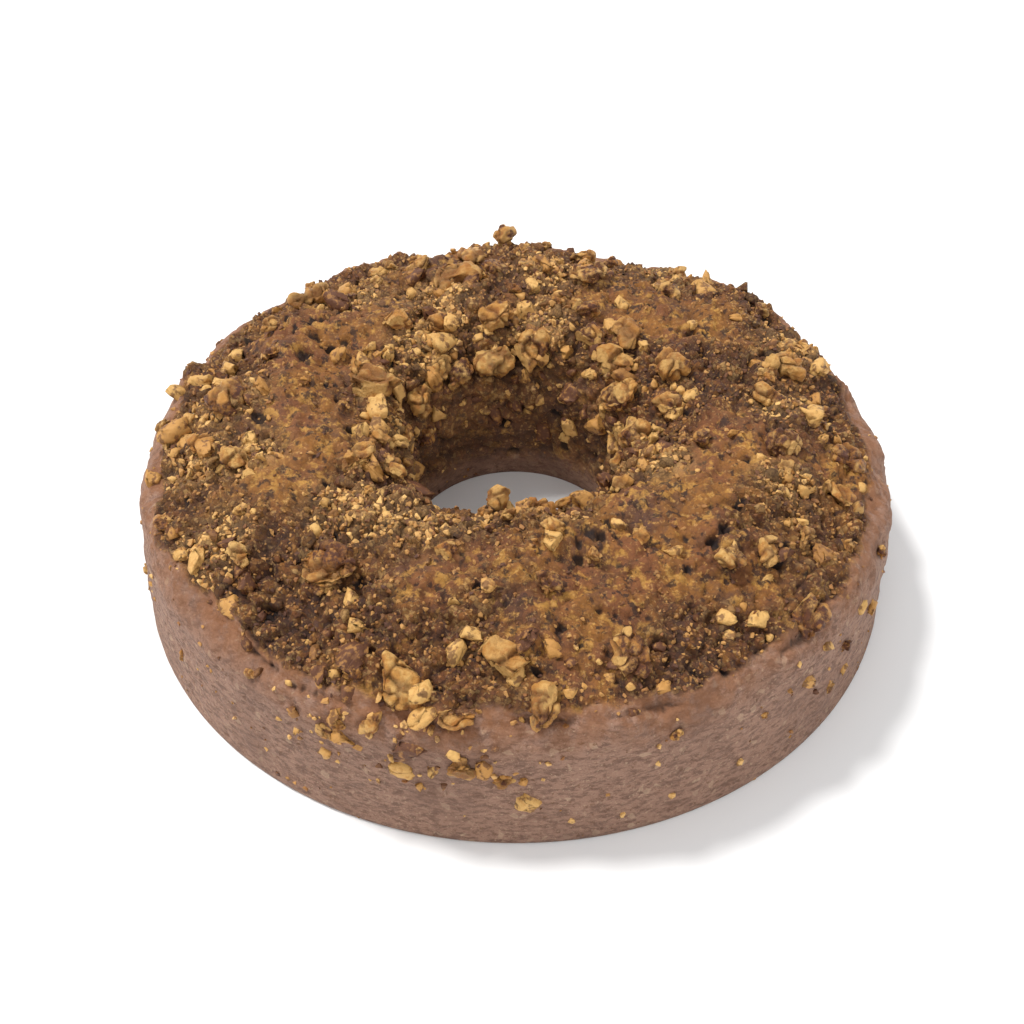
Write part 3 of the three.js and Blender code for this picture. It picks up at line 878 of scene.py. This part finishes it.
def broken(tree, shape, number):  # flat faces where a piece snapped off
    for k, limit in enumerate(lump["cuts"]):
        turn = (0.9 + number * 1.3 + k, 0.5 + number * 0.7, number * 2.1 + 1.7 * k)
        turned = outOf(tree, "GeometryNodeTransform", {"Geometry": shape, "Rotation": turn})
        place = outOf(tree, "GeometryNodeInputPosition")
        cut = outOf(tree, "ShaderNodeVectorMath", {0: place, 1: limit}, operation="MINIMUM")
        shape = outOf(tree, "GeometryNodeSetPosition", {"Geometry": turned, "Position": cut})
    return shape


def lumpShape(tree, number, faceLevels, elongation):  # an irregular shape, about one across
    sizes = {"Radius": lump["radius"], "Subdivisions": faceLevels}
    ball = outOf(tree, "GeometryNodeMeshIcoSphere", sizes, "Mesh")
    look = {"W": number * 7.3 + 1.7, "Scale": lump["noiseScale"], "Detail": 2.0}
    rough = outOf(tree, "ShaderNodeTexNoise", look, "Color", noise_dimensions="4D")
    way = outOf(tree, "ShaderNodeVectorMath", {0: rough, 1: (0.5, 0.5, 0.5)}, operation="SUBTRACT")
    dent = outOf(tree, "ShaderNodeVectorMath", {0: way, "Scale": lump["dent"]}, operation="SCALE")
    dented = outOf(tree, "GeometryNodeSetPosition", {"Geometry": ball, "Offset": dent})
    size = (lump["long"], elongation, elongation * lump["thin"])
    squeezed = outOf(tree, "GeometryNodeTransform", {"Geometry": dented, "Scale": size})
    return broken(tree, squeezed, number)


scatterInputs = {
    "Spacing": "NodeSocketFloat", "Per Square Metre": "NodeSocketFloat",
    "Smallest": "NodeSocketFloat", "Largest": "NodeSocketFloat", "Seed": "NodeSocketInt",
    "Material": "NodeSocketMaterial", "Share": "NodeSocketString",
}
scatterDraws = {"size": 11, "spin": 12, "tone": 13}  # seeds
scatterLook = {"mostlySmall": 1.8, "lean": 0.5, "halfTurn": 3.14}


def drawn(tree, seed):  # from 0 to 1, for each piece
    look = {2: 0.0, 3: 1.0, "Seed": seed}
    return outOf(tree, "FunctionNodeRandomValue", look, 1, data_type="FLOAT")


def scatterTree(name, shapes, faceLevels, elongation):
    tree = bpy.data.node_groups.new(name, "GeometryNodeTree")
    tree.interface.new_socket("Geometry", in_out="INPUT", socket_type="NodeSocketGeometry")
    for label, kind in scatterInputs.items():
        tree.interface.new_socket(label, in_out="INPUT", socket_type=kind)
    tree.interface.new_socket("Geometry", in_out="OUTPUT", socket_type="NodeSocketGeometry")
    given = tree.nodes.new("NodeGroupInput").outputs
    result = tree.nodes.new("NodeGroupOutput")

    join = tree.nodes.new("GeometryNodeJoinGeometry")
    for number in range(shapes):
        shape = lumpShape(tree, number, faceLevels, elongation)
        tree.links.new(outOf(tree, "GeometryNodeGeometryToInstance", {0: shape}), join.inputs[0])

    density = outOf(tree, "GeometryNodeInputNamedAttribute", {"Name": given["Share"]}, "Attribute",
                    data_type="FLOAT")
    places = nodeIn(tree, "GeometryNodeDistributePointsOnFaces", {
        "Mesh": given["Geometry"], "Distance Min": given["Spacing"],
        "Density Max": given["Per Square Metre"], "Density Factor": density, "Seed": given["Seed"],
    }, distribute_method="POISSON")
    pick = outOf(tree, "FunctionNodeRandomValue", {4: 0, 5: shapes - 1, "Seed": given["Seed"]}, 2,
                 data_type="INT")
    size = drawn(tree, scatterDraws["size"])
    small = maths(tree, "POWER", size, scatterLook["mostlySmall"])
    scale = outOf(tree, "ShaderNodeMapRange", {
        "Value": small, "To Min": given["Smallest"], "To Max": given["Largest"]}, "Result")
    lean, half = scatterLook["lean"], scatterLook["halfTurn"]
    spin = outOf(tree, "FunctionNodeRandomValue", {
        0: (-lean, -lean, -half), 1: (lean, lean, half), "Seed": scatterDraws["spin"],
    }, data_type="FLOAT_VECTOR")
    turn = outOf(tree, "FunctionNodeRotateRotation", {
        "Rotation": places.outputs["Rotation"],
        "Rotate By": outOf(tree, "FunctionNodeEulerToRotation", {0: spin}),
    }, rotation_space="LOCAL")
    placed = outOf(tree, "GeometryNodeInstanceOnPoints", {
        "Points": places.outputs["Points"], "Instance": join.outputs[0], "Pick Instance": True,
        "Instance Index": pick, "Rotation": turn, "Scale": scale,
    })
    toned = outOf(tree, "GeometryNodeStoreNamedAttribute", {
        "Geometry": placed, "Name": "tone", "Value": drawn(tree, scatterDraws["tone"]),
    }, data_type="FLOAT", domain="INSTANCE")
    real = outOf(tree, "GeometryNodeRealizeInstances", {"Geometry": toned})
    look = {"Geometry": real, "Material": given["Material"]}
    tree.links.new(outOf(tree, "GeometryNodeSetMaterial", look), result.inputs[0])
    return tree


nutPiece = {
    "shapes": 9, "faceLevels": 3, "elongation": 0.72, "flat": False,
    "inputs": {"Spacing": 0.0062, "Per Square Metre": 40000.0, "Smallest": 0.0058,
               "Largest": 0.0112, "Seed": 20, "Share": "chipShare"},
}
nutChip = {
    "shapes": 8, "faceLevels": 2, "elongation": 0.75, "flat": False,
    "inputs": {"Spacing": 0.0032, "Per Square Metre": 70000.0, "Smallest": 0.0024,
               "Largest": 0.0056, "Seed": 21, "Share": "chipShare"},
}
nutCrumb = {
    "shapes": 6, "faceLevels": 1, "elongation": 0.75, "flat": True,
    "inputs": {"Spacing": 0.0012, "Per Square Metre": 900000.0, "Smallest": 0.0011,
               "Largest": 0.0034, "Seed": 22, "Share": "crumbShare"},
}
cakeCrumb = {
    "shapes": 5, "faceLevels": 1, "elongation": 0.85, "flat": True,
    "inputs": {"Spacing": 0.0011, "Per Square Metre": 260000.0, "Smallest": 0.0009,
               "Largest": 0.0024, "Seed": 23, "Share": "bitShare"},
}
crustClod = {
    "shapes": 7, "faceLevels": 2, "elongation": 0.82, "flat": False,
    "inputs": {"Spacing": 0.0046, "Per Square Metre": 18000.0, "Smallest": 0.0030,
               "Largest": 0.0064, "Seed": 24, "Share": "clodShare"},
    "marks": {"crown": 1.0, "rubble": 0.7, "clod": 0.5},  # what the crust's material reads
}


def scattered(name, kind, ground, material):
    tree = scatterTree(name, kind["shapes"], kind["faceLevels"], kind["elongation"])
    carrier = addObject(name + "_carrier", ground)
    modifier = carrier.modifiers.new("scatter", "NODES")
    modifier.node_group = tree
    items = tree.interface.items_tree
    sockets = {item.name: item.identifier for item in items if item.in_out == "INPUT"}
    for label, value in {**kind["inputs"], "Material": material}.items():
        modifier[sockets[label]] = value
    mesh = plainMesh(carrier, name)
    carrier.modifiers.remove(modifier)
    bpy.data.objects.remove(carrier)
    mesh.polygons.foreach_set("use_smooth", np.full(len(mesh.polygons), not kind["flat"]))
    movePoints(mesh, pointsOf(mesh) / mm)
    for key, value in kind.get("marks", {}).items():
        setAttribute(mesh, key, np.full(len(mesh.vertices), value))
    print(name, len(mesh.polygons), "faces")
    return pieceFrom(mesh, material)


def rideOnCake(piece):
    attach(piece, "root")


print("making the crust")
crustMesh = cakeCrust()
bakedCrust = crustMaterial()
crustPiece = pieceFrom(crustMesh, bakedCrust)
rideOnCake(crustPiece)
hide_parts("cake_ring")

print("making the walnuts")
nutMaterial = walnutMaterial()
for nodeName in sorted(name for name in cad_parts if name.startswith("walnut_")):
    walnutPiece(nodeName, nutMaterial)
rideOnCake(bakedChips(nutMaterial))

print("scattering chips and crumbs")
chipMaterial = crumbMaterial("nut_chip")
for name, kind, material, slotName in (
    ("crust_clods", crustClod, bakedCrust, "crust"),
    ("nut_pieces", nutPiece, chipMaterial, "walnut"),
    ("nut_chips", nutChip, chipMaterial, "walnut"),
    ("nut_crumbs", nutCrumb, crumbMaterial("nut_grain"), "walnut"),
    ("cake_crumbs", cakeCrumb, crumbMaterial("cake_bit"), "crust"),
):
    rideOnCake(scattered(name, kind, crustMesh, material))


# Floor, lights and camera

studio = {
    "cameraMm": (-0.9, -314.5, 304.5), "aimMm": (-0.9, 4.0, -9.6), "lens": 48.06, "sensor": 36,
    "shiftY": 0.0405, "floorAcross": 30.0, "floorRoughness": 0.6, "floor": srgb(236, 235, 233),
    "sky": srgb(236, 238, 242), "skyStrength": 0.85,
}
lamps = [  # name, where it shines from, softness in degrees, strength
    ("keyLamp", (-0.42, 0.22, 0.8), 13, 3.0),
    ("frontLamp", (-0.3, -0.8, 0.6), 30, 0.6),
    ("sideLamp", (0.8, -0.1, 0.5), 35, 0.55),
]


def facing(way):
    return way.to_track_quat("-Z", "Y").to_euler()


def setStage():
    bpy.ops.mesh.primitive_plane_add(size=studio["floorAcross"])
    floor = bpy.context.object
    floor.name = "floor"
    material, _, shader, _ = newMaterial("pale_floor", studio["floorRoughness"])
    shader.inputs["Base Color"].default_value = studio["floor"]
    floor.data.materials.append(material)
    world = bpy.data.worlds.new("soft_sky")
    world.use_nodes = True
    sky = world.node_tree.nodes["Background"].inputs
    sky["Color"].default_value, sky["Strength"].default_value = studio["sky"], studio["skyStrength"]
    bpy.context.scene.world = world
    for name, place, softness, strength in lamps:
        light = bpy.data.lights.new(name, "SUN")
        light.angle, light.energy = math.radians(softness), strength
        lamp = addObject(name, light)
        lamp.location, lamp.rotation_euler = place, facing(-Vector(place))
    bpy.context.scene.view_settings.view_transform = "Standard"


def setCamera():
    lens = bpy.data.cameras.new("camera")
    lens.lens, lens.sensor_width, lens.shift_y = studio["lens"], studio["sensor"], studio["shiftY"]
    camera = addObject("camera", lens)
    place, aim = Vector(studio["cameraMm"]) * mm, Vector(studio["aimMm"]) * mm
    camera.location, camera.rotation_euler = place, facing(aim - place)
    bpy.context.scene.camera = camera


print("setting the stage")
setStage()
setCamera()
